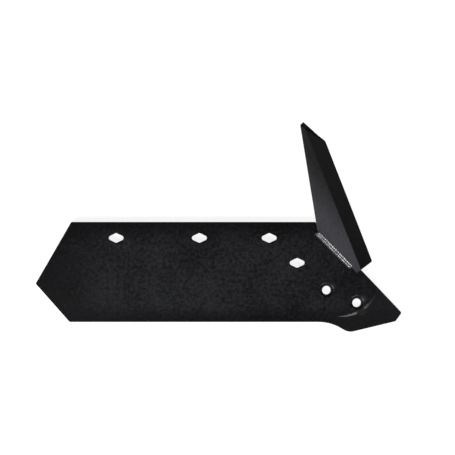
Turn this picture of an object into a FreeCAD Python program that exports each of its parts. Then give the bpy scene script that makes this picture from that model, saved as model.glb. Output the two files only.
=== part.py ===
"""Right-hand plough share with a knife welded along its landside edge.

Three pieces: the flat forged blade, the knife that stands on the blade's
landside edge and leans outward, and the fillet weld at the knife's inner foot.

Frame: millimetres. The origin is where the axis of the main bolt hole, the
countersunk one nearer the wing, meets the flat underside. +X runs along the
cutting edge from the wing to the toe, +Y from the cutting edge to the bolt
edge, and +Z up through the blade's face. The underside lies on z = 0.
"""

import FreeCAD, Part
import math
import os
import Sketcher

Vector = FreeCAD.Vector
Line = Part.LineSegment

# Every driving size: its name in the sheet, its value in millimetres or
# degrees, and what it measures.
SIZES = [
    # The blade's outline, seen from above.
    ("blade_thickness", 11, "blade, face to underside"),
    ("blade_width", 150, "cutting edge to bolt edge"),
    ("edge_offset", 47.5, "main bolt hole to cutting edge"),
    ("wing_reach", 436.5, "main bolt hole to the wing's point, along the edge"),
    ("wing_point_rise", 57.5, "wing's point above the cutting edge line"),
    ("wing_top_angle", 60, "wing's upper cut to the cutting edge"),
    ("wing_low_angle", 48.5, "wing's lower cut to the cutting edge"),
    ("heel_offset", 17, "main bolt hole back to the heel corner of the bolt edge"),
    ("landside_angle", 46.3, "landside edge to the cutting edge"),
    ("knee_reach", 6, "main bolt hole to the knee of the cutting edge"),
    ("knee_angle", 31, "how steeply the edge drops past the knee"),
    ("knee_length", 31.5, "knee to the belly of the toe, as sharp corners"),
    ("knee_radius", 67, "knee"),
    ("belly_radius", 20, "belly of the toe"),
    ("toe_angle", 13.3, "toe's lower edge to the cutting edge"),
    ("toe_length", 73, "toe's lower edge, as sharp corners"),
    ("tip_angle", 54, "tip cut to the cutting edge"),
    ("tip_radius", 3, "both corners of the tip cut"),
    # The bevel ground under the cutting edge.
    ("edge_land", 3, "thickness left at the cutting edge"),
    ("bevel_width", 30, "underside bevel, across the blade"),
    ("bevel_overrun", 40, "how far the grinding plane runs past the edge line"),
    # The four bolt slots for shaped-neck plough bolts.
    ("slot_length", 22.5, "slot, end to end"),
    ("slot_height", 14.5, "slot, across its middle"),
    ("slot_end_radius", 3.6, "round ends of the slot"),
    ("slot_crown_radius", 3, "rounded middle corners of the slot"),
    ("slot_edge_break", 1.2, "chamfer round each slot on the blade's face"),
    ("slot_row_inset", 24, "bolt edge to the row of three slots"),
    ("front_slot_offset", 86, "main bolt hole back to the row's front slot"),
    ("front_slot_pitch", 105, "front slot to middle slot of the row"),
    ("rear_slot_pitch", 125, "middle slot to rear slot of the row"),
    ("inner_slot_offset", 44, "main bolt hole back to the inner slot"),
    ("inner_slot_rise", 41, "main bolt hole up to the inner slot"),
    # The two round countersunk bolt holes.
    ("bolt_hole_diameter", 13, "both round holes"),
    ("countersink_diameter", 22, "both round holes, at the blade's face"),
    ("countersink_angle", 90, "both round holes"),
    ("countersink_rim_radius", 2.5, "rounding where each countersink meets the blade's face"),
    ("toe_hole_reach", 45.5, "main bolt hole to toe hole, along the edge"),
    ("toe_hole_drop", 19, "main bolt hole to toe hole, across the blade"),
    # The toe's forged-down face, and the full-thickness pad round the holes.
    ("pad_reach", 14.5, "main bolt hole to the pad's centre, along the edge"),
    ("pad_rise", 28, "main bolt hole to the pad's centre, across the blade"),
    ("pad_radius", 67, "pad, at the blade's face"),
    ("pad_slope", 22, "pad's rim to the blade's face"),
    ("fold_angle", 35.5, "line where the forged face starts, to the cutting edge"),
    ("fold_distance", 55.5, "pad's centre to that line"),
    ("toe_slope", 6, "forged face to the blade's face"),
    # The knife, measured along the landside edge from the heel and up its own face.
    ("knife_thickness", 7, "knife plate"),
    ("knife_lean", 25, "knife outward from square to the blade"),
    ("knife_heel_gap", 13, "heel to the knife's back edge"),
    ("knife_foot_reach", 98, "heel to the knife's front edge"),
    ("knife_back_run", 118, "heel back to the knife's back top corner"),
    ("knife_back_height", 178, "foot to the knife's back top corner"),
    ("knife_top_run", 90, "heel back to the bend in the top edge"),
    ("knife_top_height", 182, "foot to the bend in the top edge"),
    ("knife_peak_run", 78, "heel back to the top of the knife's cutting edge"),
    ("knife_peak_height", 185.5, "foot to the top of the knife's cutting edge"),
    ("knife_front_height", 44, "foot to the bottom of the knife's cutting edge"),
    ("knife_corner_radius", 5, "both ends of the knife's cutting edge"),
    ("knife_bevel_width", 24, "bevel on the knife's inner face"),
    ("knife_edge_land", 1, "thickness left at the knife's cutting edge"),
    ("knife_bevel_overrun", 40, "how far the bevel's cut runs past the knife"),
    # The fillet weld at the knife's inner foot.
    ("weld_start", 13.5, "heel to the weld's rear end"),
    ("weld_length", 73.5, "weld"),
    ("weld_blade_leg", 4.6, "weld's leg along the blade's face"),
    ("weld_knife_leg", 5.6, "weld's leg up the knife"),
    ("weld_crown", 1, "how far the weld's face bulges"),
    ("weld_end_radius", 1.6, "rounding of the weld's ends"),
]

os.makedirs("parts", exist_ok=True)
doc = FreeCAD.newDocument("plough_share")

sheet = doc.addObject("Spreadsheet::Sheet", "sizes")
size = {}
for row, (name, value, meaning) in enumerate(SIZES, start=1):
    sheet.set(f"A{row}", meaning)
    sheet.set(f"B{row}", str(value))
    sheet.setAlias(f"B{row}", name)
    size[name] = value
doc.recompute()


# ---------------------------------------------------------------- helpers

def bind(obj, **expressions):
    """Bind properties of an object to expressions on the sheet."""
    for prop, expression in expressions.items():
        obj.setExpression(prop, expression)


def placed(x, y, z, yaw="0", roll="0"):
    """Expression for a placement: a point, a turn about Z, then a roll about the turned X."""
    return f"placement(vector({x}; {y}; {z}); rotation({yaw}; 0; {roll}))"


def new_body(name):
    body = doc.addObject("PartDesign::Body", name)
    body.Label = name
    doc.recompute()
    return body


def new_sketch(body, name, plane, offset=None):
    """A sketch on one of the body's own origin planes, moved by an optional placement expression."""
    sketch = body.newObject("Sketcher::SketchObject", name)
    support = [item for item in body.Origin.OriginFeatures if item.Role == plane]
    sketch.AttachmentSupport = [(support[0], "")]
    sketch.MapMode = "FlatFace"
    if offset:
        bind(sketch, AttachmentOffset=offset)
    return sketch


def rule(sketch, kind, *args, name=None, value=None):
    """Add a constraint, and bind it to an expression on the sheet if it has one."""
    index = sketch.addConstraint(Sketcher.Constraint(kind, *args))
    if name:
        sketch.renameConstraint(index, name)
        sketch.setExpression(f"Constraints.{name}", value)


def draw_polygon(sketch, points):
    """Closed outline of straight lines; line i starts at point i."""
    count = len(points)
    for i in range(count):
        start = Vector(*points[i], 0)
        end = Vector(*points[(i + 1) % count], 0)
        sketch.addGeometry(Line(start, end), False)
    for i in range(count):
        rule(sketch, "Coincident", i, 2, (i + 1) % count, 1)


def pin_point(sketch, line, name, x=None, y=None):
    """Fix the start of a line at x, y from the sketch's origin; a leading minus puts it on that side."""
    for axis, text in (("X", x), ("Y", y)):
        if text is None:
            continue
        kind = "Distance" + axis
        first, second = (-1, 1), (line, 1)
        if text.startswith("-"):
            first, second = second, first
            text = text[1:]
        current = sketch.getPoint(*second)[axis == "Y"] - sketch.getPoint(*first)[axis == "Y"]
        rule(sketch, kind, *first, *second, current, name=name + axis.lower(), value=text)


def edges_through(feature, points, tolerance=0.01):
    """Names of the feature's edges that pass through any of the points."""
    names = []
    for number, edge in enumerate(feature.Shape.Edges, start=1):
        for point in points:
            if edge.distToShape(Part.Vertex(point))[0] < tolerance:
                names.append(f"Edge{number}")
                break
    return names


def round_corners(body, base, name, corners, height, radius):
    """Round the upright edges that stand on the given sketch corners."""
    doc.recompute()
    fillet = body.newObject("PartDesign::Fillet", name)
    middles = [Vector(x, y, height) for x, y in corners]
    fillet.Base = (base, edges_through(base, middles))
    bind(fillet, Radius=radius)
    doc.recompute()
    return fillet


def cut_through(body, sketch, name):
    """Pocket right through the body, both ways from the sketch."""
    before = body.Shape.Volume
    pocket = body.newObject("PartDesign::Pocket", name)
    pocket.Profile = sketch
    pocket.Type = "ThroughAll"
    pocket.Midplane = True
    doc.recompute()
    if not body.Shape.Volume < before:
        raise RuntimeError(f"{name} removes nothing")
    return pocket


# ---------------------------------------------------------------- the blade

def blade_corners():
    """Sharp corners of the outline, anticlockwise from the cutting edge's wing end."""
    angle = {name: math.radians(value) for name, value in size.items() if name.endswith("angle")}
    edge = -size["edge_offset"]
    bolt_edge = edge + size["blade_width"]
    wing = (-size["wing_reach"], edge + size["wing_point_rise"])
    wing_low = (wing[0] + size["wing_point_rise"] / math.tan(angle["wing_low_angle"]), edge)
    wing_top = (wing[0] + (bolt_edge - wing[1]) / math.tan(angle["wing_top_angle"]), bolt_edge)
    heel = (-size["heel_offset"], bolt_edge)
    knee = (size["knee_reach"], edge)
    belly = (
        knee[0] + size["knee_length"] * math.cos(angle["knee_angle"]),
        knee[1] - size["knee_length"] * math.sin(angle["knee_angle"]),
    )
    toe = (
        belly[0] + size["toe_length"] * math.cos(angle["toe_angle"]),
        belly[1] + size["toe_length"] * math.sin(angle["toe_angle"]),
    )
    # The tip is where the tip cut, rising from the toe, meets the landside edge, falling from the heel.
    cos_land = math.cos(angle["landside_angle"])
    sin_land = math.sin(angle["landside_angle"])
    short = (heel[0] - toe[0]) * sin_land + (heel[1] - toe[1]) * cos_land
    cut = short / math.sin(angle["tip_angle"] + angle["landside_angle"])
    tip = (toe[0] + cut * math.cos(angle["tip_angle"]), toe[1] + cut * math.sin(angle["tip_angle"]))
    return [wing_low, knee, belly, toe, tip, heel, wing_top, wing]


def make_blade():
    """The flat blade: outline, underside bevel, four bolt slots and two countersunk holes."""
    body = new_body("blade")
    corners = blade_corners()
    cutting_edge, drop, toe_edge, tip_cut, landside, bolt_edge, wing_upper, wing_lower = range(8)

    outline = new_sketch(body, "blade_outline", "XY_Plane")
    draw_polygon(outline, corners)
    rule(outline, "Horizontal", cutting_edge)
    rule(outline, "Horizontal", bolt_edge)
    pin_point(outline, drop, "knee", x="sizes.knee_reach", y="-sizes.edge_offset")
    pin_point(outline, bolt_edge, "heel", x="-sizes.heel_offset")
    pin_point(outline, wing_lower, "wing", x="-sizes.wing_reach")
    rule(outline, "DistanceY", drop, 1, bolt_edge, 1, size["blade_width"],
         name="width", value="sizes.blade_width")
    rule(outline, "DistanceY", drop, 1, wing_lower, 1, size["wing_point_rise"],
         name="wing_rise", value="sizes.wing_point_rise")
    rule(outline, "Distance", drop, size["knee_length"], name="drop", value="sizes.knee_length")
    rule(outline, "Distance", toe_edge, size["toe_length"], name="toe", value="sizes.toe_length")
    # The slope of each slanted line from its start to its end.
    slopes = [
        (drop, -size["knee_angle"], "-sizes.knee_angle"),
        (toe_edge, size["toe_angle"], "sizes.toe_angle"),
        (tip_cut, size["tip_angle"], "sizes.tip_angle"),
        (landside, 180 - size["landside_angle"], "180 - sizes.landside_angle"),
        (wing_upper, size["wing_top_angle"] - 180, "sizes.wing_top_angle - 180"),
        (wing_lower, -size["wing_low_angle"], "-sizes.wing_low_angle"),
    ]
    for line, degrees, expression in slopes:
        rule(outline, "Angle", line, math.radians(degrees), name=f"slope_{line}", value=expression)

    plate = body.newObject("PartDesign::Pad", "blade_plate")
    plate.Profile = outline
    bind(plate, Length="sizes.blade_thickness")
    middle = size["blade_thickness"] / 2
    knee, belly, toe, tip = corners[1:5]
    knee_round = round_corners(body, plate, "knee_round", [knee], middle, "sizes.knee_radius")
    belly_round = round_corners(body, knee_round, "belly_round", [belly], middle, "sizes.belly_radius")
    round_corners(body, belly_round, "tip_round", [toe, tip], middle, "sizes.tip_radius")

    grind_bevel(body)
    slots = [
        ("rear_slot", "-sizes.front_slot_offset - sizes.front_slot_pitch - sizes.rear_slot_pitch", ROW),
        ("middle_slot", "-sizes.front_slot_offset - sizes.front_slot_pitch", ROW),
        ("front_slot", "-sizes.front_slot_offset", ROW),
        ("inner_slot", "-sizes.inner_slot_offset", "sizes.inner_slot_rise"),
    ]
    for name, x, y in slots:
        cut_slot(body, name, x, y)
    drill_bolt_holes(body)
    return body


# Height of the three-slot row above the main bolt hole.
ROW = "sizes.blade_width - sizes.edge_offset - sizes.slot_row_inset"


def grind_bevel(body):
    """One grinding plane under the cutting edge, from the land at the edge to nothing at its inner side."""
    land = size["edge_land"]
    inner = size["bevel_width"] - size["edge_offset"]
    outer = -size["edge_offset"] - size["bevel_overrun"]
    rise = land * (size["bevel_width"] + size["bevel_overrun"]) / size["bevel_width"]
    sketch = new_sketch(body, "bevel_section", "YZ_Plane")
    draw_polygon(sketch, [(outer, 0), (inner, 0), (outer, rise)])
    rule(sketch, "Vertical", 2)
    pin_point(sketch, 0, "outer", x="-(sizes.edge_offset + sizes.bevel_overrun)")
    rule(sketch, "PointOnObject", 0, 1, -1)
    rule(sketch, "PointOnObject", 1, 1, -1)
    rule(sketch, "DistanceX", 0, 1, 1, 1, inner - outer,
         name="run", value="sizes.bevel_width + sizes.bevel_overrun")
    rule(sketch, "DistanceY", 0, 1, 2, 1, rise, name="rise",
         value="sizes.edge_land * (sizes.bevel_width + sizes.bevel_overrun) / sizes.bevel_width")
    cut_through(body, sketch, "edge_bevel")


def cut_slot(body, name, x, y):
    """A long hole, wider at its middle: two end arcs and two crown arcs joined by tangents."""
    end = size["slot_end_radius"]
    crown = size["slot_crown_radius"]
    reach = size["slot_length"] / 2 - end
    rise = size["slot_height"] / 2 - crown
    span = math.hypot(reach, rise)
    lean = math.pi - math.atan2(rise, reach) - math.acos((end - crown) / span)
    # Each arc: its centre, its radius and the direction of its middle.
    half_circle = math.pi
    arcs = [
        (reach, 0, end, 0, lean),
        (0, rise, crown, half_circle / 2, half_circle / 2 - lean),
        (-reach, 0, end, half_circle, lean),
        (0, -rise, crown, half_circle * 3 / 2, half_circle / 2 - lean),
    ]
    sketch = new_sketch(body, name + "_outline", "XY_Plane", offset=placed(x, y, "0"))
    pieces = []
    for centre_x, centre_y, radius, middle, half in arcs:
        circle = Part.Circle(Vector(centre_x, centre_y, 0), Vector(0, 0, 1), radius)
        pieces.append(Part.ArcOfCircle(circle, middle - half, middle + half))
    for i, arc in enumerate(pieces):
        sketch.addGeometry(arc, False)
        sketch.addGeometry(Line(arc.EndPoint, pieces[(i + 1) % 4].StartPoint), False)
    right, top, left, bottom = 0, 2, 4, 6
    x_axis, y_axis = -1, -2
    for i in range(8):
        rule(sketch, "Tangent", i, 2, (i + 1) % 8, 1)
    rule(sketch, "PointOnObject", right, 3, x_axis)
    rule(sketch, "PointOnObject", left, 3, x_axis)
    rule(sketch, "PointOnObject", top, 3, y_axis)
    rule(sketch, "PointOnObject", bottom, 3, y_axis)
    rule(sketch, "Equal", right, left)
    rule(sketch, "Equal", top, bottom)
    rule(sketch, "Radius", right, end, name="end", value="sizes.slot_end_radius")
    rule(sketch, "Radius", top, crown, name="crown", value="sizes.slot_crown_radius")
    half_length = "sizes.slot_length / 2 - sizes.slot_end_radius"
    half_height = "sizes.slot_height / 2 - sizes.slot_crown_radius"
    rule(sketch, "DistanceX", -1, 1, right, 3, reach, name="right", value=half_length)
    rule(sketch, "DistanceX", left, 3, -1, 1, reach, name="left", value=half_length)
    rule(sketch, "DistanceY", -1, 1, top, 3, rise, name="top", value=half_height)
    rule(sketch, "DistanceY", bottom, 3, -1, 1, rise, name="bottom", value=half_height)
    pocket = cut_through(body, sketch, name)

    centre = sketch.getGlobalPlacement().Base
    face = size["blade_thickness"]
    rim = []
    for number, edge in enumerate(pocket.Shape.Edges, start=1):
        on_face = abs(edge.BoundBox.ZMin - face) < 0.01
        near = (edge.CenterOfMass - centre).Length < size["slot_length"] + face
        if on_face and near and edge.BoundBox.DiagonalLength < size["slot_length"]:
            rim.append(f"Edge{number}")
    chamfer = body.newObject("PartDesign::Chamfer", name + "_edge_break")
    chamfer.Base = (pocket, rim)
    bind(chamfer, Size="sizes.slot_edge_break")
    doc.recompute()


def drill_bolt_holes(body):
    """The main bolt hole on the origin and the toe hole, both countersunk from the blade's face."""
    radius = size["bolt_hole_diameter"] / 2
    sketch = new_sketch(body, "bolt_hole_centres", "XY_Plane",
                        offset=placed("0", "0", "sizes.blade_thickness"))
    for x, y in ((0, 0), (size["toe_hole_reach"], -size["toe_hole_drop"])):
        sketch.addGeometry(Part.Circle(Vector(x, y, 0), Vector(0, 0, 1), radius), False)
    main, toe = 0, 1
    rule(sketch, "Coincident", main, 3, -1, 1)
    rule(sketch, "DistanceX", -1, 1, toe, 3, size["toe_hole_reach"],
         name="reach", value="sizes.toe_hole_reach")
    rule(sketch, "DistanceY", toe, 3, -1, 1, size["toe_hole_drop"],
         name="drop", value="sizes.toe_hole_drop")
    rule(sketch, "Equal", main, toe)
    rule(sketch, "Radius", main, radius, name="bore", value="sizes.bolt_hole_diameter / 2")
    doc.recompute()
    before = body.Shape.Volume
    holes = body.newObject("PartDesign::Hole", "bolt_holes")
    holes.Profile = sketch
    holes.DepthType = "ThroughAll"
    holes.ThreadType = "None"
    holes.HoleCutType = "Countersink"
    bind(holes, Diameter="sizes.bolt_hole_diameter", HoleCutDiameter="sizes.countersink_diameter",
         HoleCutCountersinkAngle="sizes.countersink_angle")
    doc.recompute()
    if not body.Shape.Volume < before:
        raise RuntimeError("bolt_holes removes nothing")

    face = size["blade_thickness"]
    mouth = size["countersink_diameter"] * math.pi
    rims = []
    for number, edge in enumerate(holes.Shape.Edges, start=1):
        on_face = abs(edge.BoundBox.ZMin - face) < 0.01
        if on_face and abs(edge.Length - mouth) < 0.01:
            rims.append(f"Edge{number}")
    rounded = body.newObject("PartDesign::Fillet", "countersink_rims")
    rounded.Base = (holes, rims)
    bind(rounded, Radius="sizes.countersink_rim_radius")
    doc.recompute()


def make_share_plate():
    """The blade with its toe forged down, all but the full-thickness pad round the bolt holes."""
    blade = make_blade()
    at_pad = placed("sizes.pad_reach", "sizes.pad_rise", "sizes.blade_thickness", yaw="sizes.fold_angle")
    # The cut is as large as the blade is wide, which is more than the whole toe.
    on_fold = placed("-sizes.blade_width / 2", "-sizes.fold_distance", "0", roll="sizes.toe_slope")
    beyond = placed("0", "-sizes.blade_width", "0")
    forging = doc.addObject("Part::Box", "forging_cut")
    bind(forging, Length="sizes.blade_width", Width="sizes.blade_width",
         Height="sizes.blade_width", Placement=f"{at_pad} * {on_fold} * {beyond}")

    rim_run = "sizes.blade_thickness / tan(sizes.pad_slope)"
    pad = doc.addObject("Part::Cone", "full_thickness_pad")
    bind(pad, Radius1=f"sizes.pad_radius + {rim_run}", Radius2=f"sizes.pad_radius - {rim_run}",
         Height="2 * sizes.blade_thickness",
         Placement=placed("sizes.pad_reach", "sizes.pad_rise", "0"))

    round_pad = doc.addObject("Part::Cut", "toe_relief")
    round_pad.Base = forging
    round_pad.Tool = pad
    share = doc.addObject("Part::Cut", "share_plate")
    share.Base = blade
    share.Tool = round_pad
    doc.recompute()
    return share


# ---------------------------------------------------------------- the knife

# The heel corner of the blade's face, where the knife and the weld are measured from.
HEEL = ("-sizes.heel_offset", "sizes.blade_width - sizes.edge_offset", "sizes.blade_thickness")
ALONG_LANDSIDE = "180 - sizes.landside_angle"


def make_knife():
    """A plate whose X runs back along the landside edge and whose Y runs up its own outer face."""
    body = new_body("landside_knife")
    foot_drop = size["knife_thickness"] * math.tan(math.radians(size["knife_lean"]))
    foot_text = "sizes.knife_thickness * tan(sizes.knife_lean)"
    corners = [
        (-size["knife_foot_reach"], -foot_drop),
        (-size["knife_heel_gap"], -foot_drop),
        (size["knife_back_run"], size["knife_back_height"]),
        (size["knife_top_run"], size["knife_top_height"]),
        (size["knife_peak_run"], size["knife_peak_height"]),
        (-size["knife_foot_reach"], size["knife_front_height"]),
    ]
    outline = new_sketch(body, "knife_outline", "XY_Plane")
    draw_polygon(outline, corners)
    pin_point(outline, 0, "foot_front", x="-sizes.knife_foot_reach", y=f"-{foot_text}")
    pin_point(outline, 1, "foot_back", x="-sizes.knife_heel_gap", y=f"-{foot_text}")
    pin_point(outline, 2, "back_top", x="sizes.knife_back_run", y="sizes.knife_back_height")
    pin_point(outline, 3, "top_bend", x="sizes.knife_top_run", y="sizes.knife_top_height")
    pin_point(outline, 4, "peak", x="sizes.knife_peak_run", y="sizes.knife_peak_height")
    pin_point(outline, 5, "front", x="-sizes.knife_foot_reach", y="sizes.knife_front_height")
    plate = body.newObject("PartDesign::Pad", "knife_plate")
    plate.Profile = outline
    plate.Reversed = True
    bind(plate, Length="sizes.knife_thickness")
    round_corners(body, plate, "knife_corners", corners[4:], -size["knife_thickness"] / 2,
                  "sizes.knife_corner_radius")
    bevel_knife(body)
    seat_knife(body)
    bind(body, Placement=placed(*HEEL, yaw=ALONG_LANDSIDE, roll="90 + sizes.knife_lean"))
    doc.recompute()
    return body


def bevel_knife(body):
    """Grind the inner face down to the land along the cutting edge."""
    run = "(sizes.knife_peak_run + sizes.knife_foot_reach)"
    climb = "(sizes.knife_peak_height - sizes.knife_front_height)"
    depth = "(sizes.knife_thickness - sizes.knife_edge_land)"
    at_edge = placed("-sizes.knife_foot_reach", "sizes.knife_front_height", "-sizes.knife_edge_land",
                     yaw=f"atan({climb} / {run})", roll=f"atan({depth} / sizes.knife_bevel_width)")
    start = placed("-sizes.knife_bevel_overrun", "-sizes.knife_bevel_width - sizes.knife_bevel_overrun",
                   "-sizes.knife_bevel_overrun")
    before = body.Shape.Volume
    bevel = body.newObject("PartDesign::SubtractiveBox", "knife_bevel")
    bevel.AttachmentSupport = [(item, "") for item in body.Origin.OriginFeatures if item.Role == "XY_Plane"]
    bevel.MapMode = "FlatFace"
    bind(bevel, Length=f"sqrt({run}^2 + {climb}^2) + 2 * sizes.knife_bevel_overrun",
         Width="sizes.knife_bevel_width + 2 * sizes.knife_bevel_overrun",
         Height="sizes.knife_bevel_overrun", AttachmentOffset=f"{at_edge} * {start}")
    doc.recompute()
    if not body.Shape.Volume < before:
        raise RuntimeError("knife_bevel removes nothing")


def seat_knife(body):
    """Cut the foot flat, so that the leaning knife stands on the blade's face."""
    thickness = size["knife_thickness"]
    slant = math.tan(math.radians(size["knife_lean"]))
    slant_text = "sizes.knife_thickness * tan(sizes.knife_lean)"
    sketch = new_sketch(body, "foot_section", "YZ_Plane")
    corners = [
        (thickness * slant, thickness),
        (-2 * thickness * slant, -2 * thickness),
        (-2 * thickness, -2 * thickness),
        (-2 * thickness, thickness),
    ]
    draw_polygon(sketch, corners)
    pin_point(sketch, 0, "above", x=slant_text, y="sizes.knife_thickness")
    pin_point(sketch, 1, "below", x=f"-2 * {slant_text}", y="-2 * sizes.knife_thickness")
    pin_point(sketch, 2, "far_below", x="-2 * sizes.knife_thickness", y="-2 * sizes.knife_thickness")
    pin_point(sketch, 3, "far_above", x="-2 * sizes.knife_thickness", y="sizes.knife_thickness")
    cut_through(body, sketch, "knife_seat")


# ---------------------------------------------------------------- the weld

def make_weld():
    """A bulging fillet between the blade's face and the knife's inner face, X along the landside edge."""
    body = new_body("weld_bead")
    lean = math.radians(size["knife_lean"])
    root = size["knife_thickness"] / math.cos(lean)
    blade_toe = Vector(root + size["weld_blade_leg"], 0, 0)
    knife_toe = Vector(root - size["weld_knife_leg"] * math.sin(lean),
                       size["weld_knife_leg"] * math.cos(lean), 0)
    chord = (blade_toe - knife_toe).Length
    face_middle = (blade_toe + knife_toe) / 2
    bulge = Vector(knife_toe.y - blade_toe.y, blade_toe.x - knife_toe.x, 0) * (size["weld_crown"] / chord)
    radius = chord ** 2 / (8 * size["weld_crown"]) + size["weld_crown"] / 2
    chord_text = ("(sizes.weld_blade_leg^2 + sizes.weld_knife_leg^2"
                  " + 2 * sizes.weld_blade_leg * sizes.weld_knife_leg * sin(sizes.knife_lean))")

    section = new_sketch(body, "weld_section", "YZ_Plane",
                         offset=placed("0", "0", "-sizes.weld_start - sizes.weld_length"))
    section.addGeometry(Line(Vector(root, 0, 0), blade_toe), False)
    section.addGeometry(Part.Arc(blade_toe, face_middle + bulge, knife_toe), False)
    section.addGeometry(Line(knife_toe, Vector(root, 0, 0)), False)
    on_blade, face, on_knife = 0, 1, 2
    rule(section, "Coincident", on_blade, 2, face, 1)
    rule(section, "Coincident", face, 2, on_knife, 1)
    rule(section, "Coincident", on_knife, 2, on_blade, 1)
    rule(section, "PointOnObject", on_blade, 1, -1)
    rule(section, "PointOnObject", on_blade, 2, -1)
    pin_point(section, on_blade, "root", x="sizes.knife_thickness / cos(sizes.knife_lean)")
    rule(section, "Distance", on_blade, size["weld_blade_leg"], name="blade_leg", value="sizes.weld_blade_leg")
    rule(section, "Distance", on_knife, size["weld_knife_leg"], name="knife_leg", value="sizes.weld_knife_leg")
    # From the knife's toe down to the root, the leg runs outward and down.
    rule(section, "Angle", on_knife, -math.pi / 2 + lean, name="knife_face", value="sizes.knife_lean - 90")
    rule(section, "Radius", face, radius, name="bulge",
         value=f"{chord_text} / (8 * sizes.weld_crown) + sizes.weld_crown / 2")

    bead = body.newObject("PartDesign::Pad", "weld_run")
    bead.Profile = section
    bind(bead, Length="sizes.weld_length")
    doc.recompute()
    ends = (-size["weld_start"], -size["weld_start"] - size["weld_length"])
    crown = face_middle + bulge
    rounded = body.newObject("PartDesign::Fillet", "weld_ends")
    rounded.Base = (bead, edges_through(bead, [Vector(x, crown.x, crown.y) for x in ends]))
    bind(rounded, Radius="sizes.weld_end_radius")
    bind(body, Placement=placed(*HEEL, yaw=ALONG_LANDSIDE))
    doc.recompute()
    return body


# ---------------------------------------------------------------- build and write

share_plate = make_share_plate()
landside_knife = make_knife()
weld_bead = make_weld()

for item in doc.Objects:
    if "Invalid" in item.State or "Error" in item.State:
        raise RuntimeError(f"{item.Label} failed: {item.State}")

for piece in (share_plate, landside_knife, weld_bead):
    shape = piece.Shape
    if shape.isNull() or not shape.isValid() or len(shape.Solids) != 1:
        raise RuntimeError(f"{piece.Label} isn't one valid solid")
    shape.exportStep(f"parts/{piece.Label}.step")
    box = shape.BoundBox
    print(f"{piece.Label}: {shape.Volume:.0f} mm3, x {box.XMin:.1f} to {box.XMax:.1f},"
          f" y {box.YMin:.1f} to {box.YMax:.1f}, z {box.ZMin:.1f} to {box.ZMax:.1f}")
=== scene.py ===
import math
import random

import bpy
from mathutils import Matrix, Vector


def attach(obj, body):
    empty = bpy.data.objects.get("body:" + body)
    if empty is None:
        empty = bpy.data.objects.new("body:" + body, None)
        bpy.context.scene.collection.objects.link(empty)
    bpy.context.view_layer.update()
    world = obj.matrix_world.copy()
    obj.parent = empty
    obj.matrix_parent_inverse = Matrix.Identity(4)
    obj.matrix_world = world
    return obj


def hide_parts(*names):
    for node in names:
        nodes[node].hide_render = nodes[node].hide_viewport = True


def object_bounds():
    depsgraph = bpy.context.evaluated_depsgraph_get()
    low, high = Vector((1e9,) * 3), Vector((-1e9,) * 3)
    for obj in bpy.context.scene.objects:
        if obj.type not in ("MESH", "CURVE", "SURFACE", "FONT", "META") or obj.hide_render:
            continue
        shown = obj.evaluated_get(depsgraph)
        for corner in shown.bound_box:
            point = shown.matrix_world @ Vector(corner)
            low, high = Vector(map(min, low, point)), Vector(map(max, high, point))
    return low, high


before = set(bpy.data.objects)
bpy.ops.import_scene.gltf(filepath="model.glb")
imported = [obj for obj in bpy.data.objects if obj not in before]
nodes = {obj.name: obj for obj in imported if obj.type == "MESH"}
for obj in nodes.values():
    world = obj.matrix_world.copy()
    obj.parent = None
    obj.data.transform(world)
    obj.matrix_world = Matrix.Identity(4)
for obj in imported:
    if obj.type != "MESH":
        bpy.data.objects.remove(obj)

# Looks for a right-hand plough share: a black painted blade with a leaning knife
# welded along its landside edge. Everything is in metres, in the frame of the
# solids: +X along the cutting edge to the toe, +Y to the bolt edge, +Z up.

MM = 0.001
solid_low, solid_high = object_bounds()
scene = bpy.context.scene
collection = scene.collection

# ------------------------------------------------------------ sizes shared with the solids

BLADE_THICKNESS = 11 * MM
HEEL = Vector((-17 * MM, 102.5 * MM, BLADE_THICKNESS))
LANDSIDE_ANGLE = math.radians(180 - 46.3)
KNIFE_THICKNESS = 7 * MM
KNIFE_LEAN = math.radians(25)
WELD_START = 13.5 * MM
WELD_LENGTH = 73.5 * MM
WELD_KNIFE_LEG = 5.1 * MM
RIDGE_ONE_HEIGHT = 4.65 * MM
RIDGE_TWO_HEIGHT = 2.15 * MM
RIPPLE_PITCH = 3.1 * MM
TABLE_LENGTH = 60
# Where the painted highlight beside each hole's rim sits, from the hole's middle.
RIM_HIGHLIGHT_ASIDE = 9 * MM
RIM_HIGHLIGHT_ABOVE = 5.5 * MM
FLOOR_GLOW = 0.86
SPATTER_COUNT = 6
MAIN_HOLE = Vector((0, 0, BLADE_THICKNESS))
TOE_HOLE = Vector((45.5 * MM, -19 * MM, BLADE_THICKNESS))

# Along the landside edge toward the toe, square to it across the blade, and up.
TO_TOE = -Vector((math.cos(LANDSIDE_ANGLE), math.sin(LANDSIDE_ANGLE), 0))
INWARD = Vector((-math.sin(LANDSIDE_ANGLE), math.cos(LANDSIDE_ANGLE), 0))
UP = Vector((0, 0, 1))

# The knife's own directions: up its face, square to it on the inner side, and the inner side of its
# cutting edge, whose lower end is at the front of the foot.
KNIFE_UP = (UP * math.cos(KNIFE_LEAN) - INWARD * math.sin(KNIFE_LEAN)).normalized()
KNIFE_INWARD = (INWARD * math.cos(KNIFE_LEAN) + UP * math.sin(KNIFE_LEAN)).normalized()
KNIFE_FRONT_RUN = 98 * MM
KNIFE_FRONT_HEIGHT = 44 * MM
KNIFE_PEAK_RUN = -78 * MM
KNIFE_PEAK_HEIGHT = 185.5 * MM
KNIFE_EDGE_START = HEEL + TO_TOE * KNIFE_FRONT_RUN + KNIFE_UP * KNIFE_FRONT_HEIGHT
KNIFE_EDGE = (TO_TOE * (KNIFE_PEAK_RUN - KNIFE_FRONT_RUN)
              + KNIFE_UP * (KNIFE_PEAK_HEIGHT - KNIFE_FRONT_HEIGHT)).normalized()
KNIFE_EDGE_INWARD = KNIFE_INWARD.cross(KNIFE_EDGE)


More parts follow.
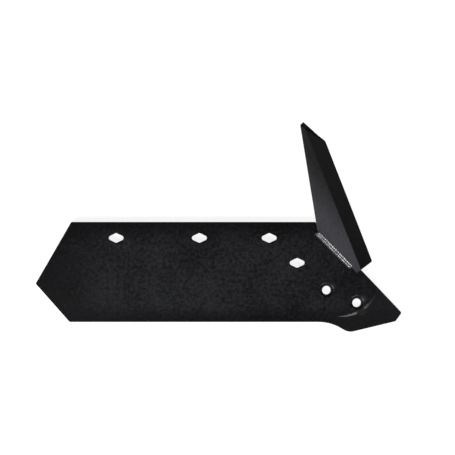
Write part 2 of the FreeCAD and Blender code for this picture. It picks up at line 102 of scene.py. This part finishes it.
def at_foot(run, across, height):
    """A point given from the heel: along the landside edge, inward across the blade, and up."""
    return HEEL + TO_TOE * run + INWARD * across + UP * height


# ------------------------------------------------------------ node helpers

def new_group(name, inputs, outputs):
    """A node group with float or colour sockets; returns the group, its input and its output node."""
    group = bpy.data.node_groups.new(name, "ShaderNodeTree")
    for label, default in inputs.items():
        kind = "NodeSocketFloat" if isinstance(default, (int, float)) else "NodeSocketColor"
        socket = group.interface.new_socket(label, in_out="INPUT", socket_type=kind)
        socket.default_value = default
    for label, kind in outputs.items():
        group.interface.new_socket(label, in_out="OUTPUT", socket_type=kind)
    return group, group.nodes.new("NodeGroupInput"), group.nodes.new("NodeGroupOutput")


def add_node(tree, kind, settings=None, **inputs):
    """Add a node, set its properties, then set or link each named input."""
    node = tree.nodes.new(kind)
    for key, value in (settings or {}).items():
        setattr(node, key, value)
    for label, value in inputs.items():
        socket = find_socket(node, label)
        if isinstance(value, bpy.types.NodeSocket):
            tree.links.new(value, socket)
        else:
            socket.default_value = value
    return node


def find_socket(node, label):
    """An input by name, with _ for a space, or by number when the label is like in0."""
    if label.startswith("in") and label[2:].isdigit():
        return node.inputs[int(label[2:])]
    return node.inputs[label.replace("_", " ")]


def math_node(tree, operation, first, second=0.0, third=0.0):
    node = add_node(tree, "ShaderNodeMath", {"operation": operation}, in0=first, in1=second, in2=third)
    return node.outputs[0]


def blend_colours(tree, amount, first, second):
    node = add_node(tree, "ShaderNodeMix", {"data_type": "RGBA"})
    for socket, value in ((node.inputs[0], amount), (node.inputs[6], first), (node.inputs[7], second)):
        if isinstance(value, bpy.types.NodeSocket):
            tree.links.new(value, socket)
        else:
            socket.default_value = value
    return node.outputs[2]


def noise(tree, where, scale, detail=3.0, roughness=0.5):
    node = add_node(tree, "ShaderNodeTexNoise", Vector=where, Scale=scale, Detail=detail,
                    Roughness=roughness)
    return node.outputs[0]


def stretch(tree, value, low, high, to_low=0.0, to_high=1.0, smooth=True):
    settings = {"interpolation_type": "SMOOTHSTEP" if smooth else "LINEAR"}
    node = add_node(tree, "ShaderNodeMapRange", settings, Value=value, From_Min=low, From_Max=high,
                    To_Min=to_low, To_Max=to_high)
    return node.outputs[0]


def object_place(tree):
    return tree.nodes.new("ShaderNodeTexCoord").outputs["Object"]


def split(tree, vector):
    return add_node(tree, "ShaderNodeSeparateXYZ", Vector=vector).outputs


# ------------------------------------------------------------ effects that the finishes share

def build_paint_skin():
    """Thin black paint over rolled scale: fine pebbling, broad cloudiness and small dull specks."""
    inputs = {"Grain Size": 1.0, "Cloud": 1.0}
    outputs = {"Height": "NodeSocketFloat", "Cloudiness": "NodeSocketFloat", "Speck": "NodeSocketFloat"}
    group, given, result = new_group("paint_skin", inputs, outputs)
    where = object_place(group)
    grain = given.outputs["Grain Size"]
    fine = noise(group, where, math_node(group, "DIVIDE", 700.0, grain), 4.0, 0.6)
    coarse = noise(group, where, math_node(group, "DIVIDE", 230.0, grain), 3.0, 0.55)
    pebbles = math_node(group, "MULTIPLY_ADD", coarse, 0.6, math_node(group, "MULTIPLY", fine, 0.4))
    group.links.new(pebbles, result.inputs["Height"])
    broad = noise(group, where, 14.0, 5.0, 0.65)
    patches = noise(group, where, math_node(group, "DIVIDE", 190.0, grain), 5.0, 0.7)
    clouds = math_node(group, "MULTIPLY_ADD", broad, 0.35, math_node(group, "MULTIPLY", patches, 0.65))
    cloudiness = stretch(group, clouds, 0.42, 0.58, smooth=False)
    group.links.new(math_node(group, "MULTIPLY", cloudiness, given.outputs["Cloud"]),
                    result.inputs["Cloudiness"])
    dots = noise(group, where, 420.0, 3.0, 0.6)
    group.links.new(stretch(group, dots, 0.60, 0.72), result.inputs["Speck"])
    return group


def build_round_patch():
    """How much a place lies within a round patch: 1 inside the inner radius, 0 past the outer one."""
    inputs = {"Across": 0.0, "Up": 0.0, "Middle Across": 0.0, "Middle Up": 0.0, "Inner": 0.001,
              "Outer": 0.002}
    group, given, result = new_group("round_patch", inputs, {"Patch": "NodeSocketFloat"})
    given = given.outputs
    aside = math_node(group, "SUBTRACT", given["Across"], given["Middle Across"])
    above = math_node(group, "SUBTRACT", given["Up"], given["Middle Up"])
    squares = math_node(group, "MULTIPLY_ADD", aside, aside, math_node(group, "MULTIPLY", above, above))
    distance = math_node(group, "SQRT", squares)
    patch = stretch(group, distance, given["Outer"], given["Inner"])
    group.links.new(patch, result.inputs["Patch"])
    return group


paint_skin = build_paint_skin()
round_patch = build_round_patch()


def new_finish(name):
    """A material with its shader; returns the material, its node tree and the shader."""
    material = bpy.data.materials.new(name)
    material.use_nodes = True
    tree = material.node_tree
    tree.nodes.clear()
    shader = tree.nodes.new("ShaderNodeBsdfPrincipled")
    output = tree.nodes.new("ShaderNodeOutputMaterial")
    tree.links.new(shader.outputs[0], output.inputs["Surface"])
    return material, tree, shader


def place_group(tree, group, **inputs):
    node = tree.nodes.new("ShaderNodeGroup")
    node.node_tree = group
    for label, value in inputs.items():
        socket = node.inputs[label.replace("_", " ")]
        if isinstance(value, bpy.types.NodeSocket):
            tree.links.new(value, socket)
        else:
            socket.default_value = value
    return node.outputs


def raise_surface(tree, shader, height, distance):
    bump = add_node(tree, "ShaderNodeBump", Height=height, Distance=distance)
    tree.links.new(bump.outputs[0], shader.inputs["Normal"])


# ------------------------------------------------------------ finishes

def make_blade_paint():
    """Black paint with painted light: a painted sheen along the middle, darker at the ends and edges, and a
    painted highlight beside each hole's rim.
    """
    material, tree, shader = new_finish("blade_paint")
    skin = place_group(tree, paint_skin, Grain_Size=1.0, Cloud=1.0)
    where = split(tree, object_place(tree))
    from_edge = stretch(tree, where["Y"], -46 * MM, -18 * MM)
    from_bolt_edge = stretch(tree, where["Y"], 101 * MM, 66 * MM)
    from_wing = stretch(tree, where["X"], -430 * MM, -300 * MM)
    from_toe = stretch(tree, where["X"], 88 * MM, -40 * MM, 0.25, 1.0)
    # Painted sheen: the colour is lighter along the middle of the blade and darker toward the ends and
    # edges.
    painted_sheen = math_node(tree, "MULTIPLY", from_edge, from_bolt_edge)
    painted_sheen = math_node(tree, "MULTIPLY", painted_sheen, math_node(tree, "MULTIPLY", from_wing, from_toe))
    bare = blend_colours(tree, skin["Cloudiness"], (0.0012, 0.0012, 0.0014, 1), (0.0080, 0.0082, 0.0094, 1))
    sheen_colour = blend_colours(tree, skin["Cloudiness"], (0.0040, 0.0040, 0.0047, 1), (0.0225, 0.0228, 0.0256, 1))
    colour = blend_colours(tree, painted_sheen, bare, sheen_colour)
    specks = math_node(tree, "MULTIPLY", skin["Speck"], 0.6)
    colour = blend_colours(tree, specks, colour, (0.030, 0.031, 0.034, 1))

    # Painted highlight: a lighter, glossier patch beside the upper right of each hole's countersink rim.
    rim_highlights = []
    for hole in (MAIN_HOLE, TOE_HOLE):
        patch = place_group(tree, round_patch, Across=where["X"], Up=where["Y"],
                            Middle_Across=hole.x + RIM_HIGHLIGHT_ASIDE,
                            Middle_Up=hole.y + RIM_HIGHLIGHT_ABOVE, Inner=1.5 * MM, Outer=7.5 * MM)
        rim_highlights.append(patch["Patch"])
    rim_highlight = math_node(tree, "MAXIMUM", rim_highlights[0], rim_highlights[1])
    rim_highlight = math_node(tree, "MULTIPLY", rim_highlight, stretch(tree, skin["Cloudiness"], 0.0, 1.0, 0.55, 1.0))
    colour = blend_colours(tree, rim_highlight, colour, (0.034, 0.034, 0.037, 1))

    # The fold behind the toe face shines in two stretches. Between them the paint is rougher and its colour
    # darker: painted shade that breaks the highlight.
    shaded_gap = place_group(tree, round_patch, Across=where["X"], Up=where["Y"], Middle_Across=51.5 * MM,
                      Middle_Up=-31 * MM, Inner=4.5 * MM, Outer=8 * MM)["Patch"]
    colour = blend_colours(tree, math_node(tree, "MULTIPLY", shaded_gap, 0.6), colour, (0.004, 0.004, 0.0045, 1))
    tree.links.new(colour, shader.inputs["Base Color"])
    rough = stretch(tree, skin["Cloudiness"], 0.0, 1.0, 0.36, 0.24)
    rough = math_node(tree, "MULTIPLY_ADD", rim_highlight, -0.07, rough)
    rough = math_node(tree, "MULTIPLY_ADD", shaded_gap, 0.45, rough)
    tree.links.new(rough, shader.inputs["Roughness"])
    shader.inputs["Specular IOR Level"].default_value = 0.22
    raise_surface(tree, shader, skin["Height"], 0.13 * MM)
    return material


def along(tree, place, origin, direction):
    """Distance of a place from an origin, measured along one direction."""
    offset = add_node(tree, "ShaderNodeVectorMath", {"operation": "SUBTRACT"}, in0=place, in1=tuple(origin))
    reach = add_node(tree, "ShaderNodeVectorMath", {"operation": "DOT_PRODUCT"},
                     in0=offset.outputs[0], in1=tuple(direction))
    return reach.outputs["Value"]


def make_knife_paint():
    """Black paint with a painted sheen: lighter grey above the weld on the inner side and darker toward the
    top, and a dull ground bevel.
    """
    material, tree, shader = new_finish("knife_paint")
    skin = place_group(tree, paint_skin, Grain_Size=1.2, Cloud=1.0)
    place = object_place(tree)
    height = along(tree, place, HEEL, KNIFE_UP)
    inside = along(tree, place, HEEL, KNIFE_INWARD)
    across = along(tree, place, KNIFE_EDGE_START, KNIFE_EDGE_INWARD)
    inner_side = stretch(tree, inside, 0.3 * MM, 0.9 * MM)
    bevel = math_node(tree, "MULTIPLY", inner_side, stretch(tree, across, 25.0 * MM, 23.0 * MM))
    # Painted sheen: the inner face's colour is lighter near the weld and fades toward the top.
    painted_foot_sheen = stretch(tree, height, 150 * MM, 15 * MM)
    painted_foot_sheen = math_node(tree, "MULTIPLY", painted_foot_sheen, inner_side)
    painted_foot_sheen = math_node(tree, "MULTIPLY", painted_foot_sheen, stretch(tree, skin["Cloudiness"], 0.0, 1.0, 0.80, 1.0))
    plain = blend_colours(tree, skin["Cloudiness"], (0.0010, 0.0010, 0.0012, 1),
                          (0.0050, 0.0051, 0.0056, 1))
    colour = blend_colours(tree, painted_foot_sheen, plain, (0.0500, 0.0490, 0.0560, 1))
    ground = blend_colours(tree, skin["Speck"], (0.0006, 0.0006, 0.0007, 1), (0.0080, 0.0083, 0.0086, 1))
    colour = blend_colours(tree, bevel, colour, ground)
    tree.links.new(colour, shader.inputs["Base Color"])
    gloss = stretch(tree, skin["Cloudiness"], 0.0, 1.0, 0.36, 0.30)
    dull = math_node(tree, "MULTIPLY_ADD", bevel, 0.3, gloss)
    tree.links.new(dull, shader.inputs["Roughness"])
    shader.inputs["Specular IOR Level"].default_value = 0.10
    raise_surface(tree, shader, skin["Height"], 0.08 * MM)
    return material


def make_weld_paint():
    """Thin paint over the bead, glossier than the blade's."""
    material, tree, shader = new_finish("weld_paint")
    skin = place_group(tree, paint_skin, Grain_Size=0.6, Cloud=1.0)
    colour = blend_colours(tree, skin["Cloudiness"], (0.030, 0.030, 0.032, 1), (0.080, 0.080, 0.084, 1))
    tree.links.new(colour, shader.inputs["Base Color"])
    tree.links.new(stretch(tree, skin["Cloudiness"], 0.0, 1.0, 0.26, 0.18), shader.inputs["Roughness"])
    shader.inputs["Specular IOR Level"].default_value = 1.0
    raise_surface(tree, shader, skin["Height"], 0.04 * MM)
    return material


blade_paint = make_blade_paint()
knife_paint = make_knife_paint()
weld_paint = make_weld_paint()

for node_name, paint in (("share_plate", blade_paint), ("landside_knife", knife_paint)):
    node = nodes[node_name]
    for index in range(len(node.material_slots)):
        node.material_slots[index].material = paint


# ------------------------------------------------------------ rounded arrises on the knife

def ease_arrises(node, width):
    """Close the seams between the solid's faces, then round its sharp edges a little."""
    seams = node.modifiers.new("closed_seams", "WELD")
    seams.merge_threshold = 0.002 * MM
    arris = node.modifiers.new("eased_arris", "BEVEL")
    arris.width = width
    arris.segments = 3
    arris.limit_method = "ANGLE"
    arris.angle_limit = math.radians(28)
    arris.harden_normals = True


ease_arrises(nodes["landside_knife"], 0.4 * MM)


# ------------------------------------------------------------ the weld

def between(start, end, share):
    return start + (end - start) * share


def smooth_line(points, count):
    """Points spaced evenly along a line of corners, with the corners eased."""
    lengths = [(second - first).length for first, second in zip(points, points[1:])]
    total = sum(lengths)
    spaced = []
    for step in range(count + 1):
        reach = total * step / count
        part = 0
        while part < len(lengths) - 1 and reach > lengths[part]:
            reach -= lengths[part]
            part += 1
        spaced.append(points[part].lerp(points[part + 1], min(1.0, reach / lengths[part])))
    eased = [spaced[0]]
    for before, here, after in zip(spaced, spaced[1:], spaced[2:]):
        eased.append(before * 0.25 + here * 0.5 + after * 0.25)
    eased.append(spaced[-1])
    return eased


def weld_section(share, columns):
    """The bead's outer face at one place, as across and height: two ridges that close up forward."""
    knife_foot = KNIFE_THICKNESS / math.cos(KNIFE_LEAN)
    ridge_one = between(7.2, 6.5, share) * MM
    ridge_two = between(11.5, 9.7, share) * MM
    slope_one = math.tan(math.radians(between(19, 25, min(1.0, share * 3))))
    slope_two = math.tan(math.radians(between(12, 24, min(1.0, share * 1.6))))
    half_one = 0.85 * MM
    half_two = 0.65 * MM
    corners = [
        Vector((knife_foot - WELD_KNIFE_LEG * math.tan(KNIFE_LEAN), WELD_KNIFE_LEG)),
        Vector((ridge_one - half_one, RIDGE_ONE_HEIGHT + half_one * slope_one)),
        Vector((ridge_one + half_one, RIDGE_ONE_HEIGHT - half_one * slope_one)),
        Vector((ridge_two - half_two, RIDGE_TWO_HEIGHT + half_two * slope_two)),
        Vector((ridge_two + half_two, RIDGE_TWO_HEIGHT - half_two * slope_two)),
        Vector((ridge_two + half_two + 1.5 * MM, 0)),
    ]
    return smooth_line(corners, columns)


def wobble(table, place):
    """A smooth wandering value read from a table of random ones."""
    whole = math.floor(place)
    part = place - whole
    part = part * part * (3 - 2 * part)
    return between(table[whole % len(table)], table[(whole + 1) % len(table)], part)


def add_drop(vertices, faces, run, across, height, radii, turn):
    """A rounded drop of weld metal, sitting on the blade and turned about the upright."""
    rings = 10
    spokes = 20
    base = len(vertices)
    along_turn = TO_TOE * math.cos(turn) + INWARD * math.sin(turn)
    across_turn = UP.cross(along_turn)
    middle = at_foot(run, across, height)
    vertices.append(tuple(middle + UP * radii[2]))
    for ring in range(1, rings):
        tilt = math.pi * ring / rings
        for spoke in range(spokes):
            swing = 2 * math.pi * spoke / spokes
            out = math.sin(tilt)
            point = middle + along_turn * (radii[0] * out * math.cos(swing))
            point = point + across_turn * (radii[1] * out * math.sin(swing))
            point = point + UP * (radii[2] * math.cos(tilt))
            vertices.append(tuple(point))
    vertices.append(tuple(middle - UP * radii[2]))
    last = len(vertices) - 1
    for spoke in range(spokes):
        following = (spoke + 1) % spokes
        faces.append((base, base + 1 + spoke, base + 1 + following))
        for ring in range(rings - 2):
            here = base + 1 + ring * spokes
            faces.append((here + spoke, here + spokes + spoke, here + spokes + following, here + following))
        here = base + 1 + (rings - 2) * spokes
        faces.append((here + spoke, last, here + following))


def make_weld():
    """A hand-laid fillet: two rippled ridges, a blob where it starts and a few drops of spatter."""
    random.seed(7)
    rows = 300
    columns = 36
    root_point = Vector((KNIFE_THICKNESS / math.cos(KNIFE_LEAN), 0))
    phases = [random.uniform(-0.35, 0.35) for _ in range(TABLE_LENGTH)]
    lifts = [random.uniform(0.3, 1.5) for _ in range(TABLE_LENGTH)]
    sways = [random.uniform(-1, 1) for _ in range(TABLE_LENGTH)]

    vertices = []
    faces = []
    for row in range(rows + 1):
        run = WELD_LENGTH * row / rows
        from_end = min(run, WELD_LENGTH - run)
        end_round = min(1.0, from_end / (2.4 * MM))
        swell = math.sqrt(max(0.0, 1 - (1 - end_round) ** 2))
        section = weld_section(run / WELD_LENGTH, columns)
        ring = []
        for column, point in enumerate(section):
            across = column / columns
            # Each ripple is a crescent that trails back at the bead's sides.
            lag = 1.2 * MM * (2 * across - 1) ** 2
            place = (run + lag) / RIPPLE_PITCH
            place += wobble(phases, place * 0.5)
            saw = place - math.floor(place)
            ridge = (1 - saw) ** 1.4 * min(1.0, saw * 6)
            side = min(1.0, across * 9, (1 - across) * 9)
            depth = between(0.15, 0.10, across) * MM
            lift = ridge * depth * wobble(lifts, place) * side
            sway = wobble(sways, run / RIPPLE_PITCH * 0.6 + across * 1.7) * 0.10 * MM * side
            ahead = section[min(column + 1, columns)]
            behind = section[max(column - 1, 0)]
            slope = (ahead - behind).normalized()
            outward = Vector((-slope.y, slope.x))
            point = point + outward * (lift + sway)
            ring.append(root_point + (point - root_point) * (0.30 + 0.70 * swell))
        ring.reverse()
        ring.append(root_point.copy())
        for point in ring:
            vertices.append(tuple(at_foot(WELD_START + run, point.x, point.y)))
    count = columns + 2
    for row in range(rows):
        for column in range(count):
            a = row * count + column
            b = row * count + (column + 1) % count
            faces.append((a, b, b + count, a + count))
    faces.append(tuple(range(count)))
    faces.append(tuple(reversed(range(rows * count, (rows + 1) * count))))

    add_drop(vertices, faces, 15.0 * MM, 9.4 * MM, 1.0 * MM, (3.6 * MM, 2.6 * MM, 3.4 * MM),
             math.radians(-40))
    add_drop(vertices, faces, 12.7 * MM, 13.0 * MM, 0.2 * MM, (1.2 * MM, 1.1 * MM, 1.1 * MM), 0.0)
    for _ in range(SPATTER_COUNT):
        size = random.uniform(0.3, 0.5) * MM
        add_drop(vertices, faces, random.uniform(16, 84) * MM, random.uniform(15, 22) * MM, 0.0,
                 (size, size, size * 0.8), 0.0)

    mesh = bpy.data.meshes.new("weld_run")
    mesh.from_pydata(vertices, [], faces)
    mesh.update()
    mesh.shade_smooth()
    bead = bpy.data.objects.new("weld_run", mesh)
    collection.objects.link(bead)
    mesh.materials.append(weld_paint)
    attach(bead, "root")
    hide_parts("weld_bead")
    return bead


weld_run = make_weld()


# ------------------------------------------------------------ floor, lamps and camera

def make_floor():
    mesh = bpy.data.meshes.new("floor")
    reach = 3.0
    height = -0.2 * MM
    corners = [(-reach, -reach, height), (reach, -reach, height),
               (reach, reach, height), (-reach, reach, height)]
    mesh.from_pydata(corners, [], [(0, 1, 2, 3)])
    floor = bpy.data.objects.new("floor", mesh)
    collection.objects.link(floor)
    material = bpy.data.materials.new("white_floor")
    material.use_nodes = True
    tree = material.node_tree
    tree.nodes.clear()
    matt = add_node(tree, "ShaderNodeBsdfDiffuse", Color=(0.32, 0.32, 0.32, 1))
    rays = tree.nodes.new("ShaderNodeLightPath").outputs
    seen = math_node(tree, "MAXIMUM", rays["Is Camera Ray"],
                     math_node(tree, "MAXIMUM", rays["Is Glossy Ray"], rays["Is Transmission Ray"]))
    glow_strength = math_node(tree, "MULTIPLY", seen, FLOOR_GLOW)
    glow = add_node(tree, "ShaderNodeEmission", Color=(1, 1, 1, 1), Strength=glow_strength)
    both = tree.nodes.new("ShaderNodeAddShader")
    tree.links.new(matt.outputs[0], both.inputs[0])
    tree.links.new(glow.outputs[0], both.inputs[1])
    output = tree.nodes.new("ShaderNodeOutputMaterial")
    tree.links.new(both.outputs[0], output.inputs["Surface"])
    mesh.materials.append(material)
    return floor


def make_lamp(name, aim, azimuth, elevation, distance, width, height, power):
    """A soft box: azimuth is the compass direction from the part, counted from +X toward +Y."""
    light = bpy.data.lights.new(name, "AREA")
    light.shape = "RECTANGLE"
    light.size = width
    light.size_y = height
    light.energy = power
    lamp = bpy.data.objects.new(name, light)
    collection.objects.link(lamp)
    turn = math.radians(azimuth)
    rise = math.radians(elevation)
    back = Vector((math.cos(turn) * math.cos(rise), math.sin(turn) * math.cos(rise), math.sin(rise)))
    lamp.location = aim + back * distance
    lamp.rotation_mode = "QUATERNION"
    lamp.rotation_quaternion = back.to_track_quat("Z", "Y")
    return lamp


make_floor()
middle = (solid_low + solid_high) / 2
middle.z = 0
make_lamp("toe_side_box", middle, -60, 36, 1.9, 0.9, 0.9, 20)
make_lamp("wing_side_box", middle, -135, 40, 1.3, 0.5, 0.5, 13)
make_lamp("landside_box", middle, 44, 40, 1.9, 0.7, 0.7, 6)

world = bpy.data.worlds.new("studio")
scene.world = world
world.use_nodes = True
backdrop = world.node_tree.nodes["Background"]
backdrop.inputs["Color"].default_value = (1, 1, 1, 1)
backdrop.inputs["Strength"].default_value = 0.06

camera_data = bpy.data.cameras.new("camera")
camera_data.sensor_width = 36
camera_data.lens = 105.5
camera_data.clip_end = 20
camera = bpy.data.objects.new("camera", camera_data)
collection.objects.link(camera)
camera.location = (-148.7 * MM, 94.2 * MM, BLADE_THICKNESS + 2.0)
camera.rotation_euler = (0, 0, 0)
scene.camera = camera

scene.view_settings.view_transform = "Standard"
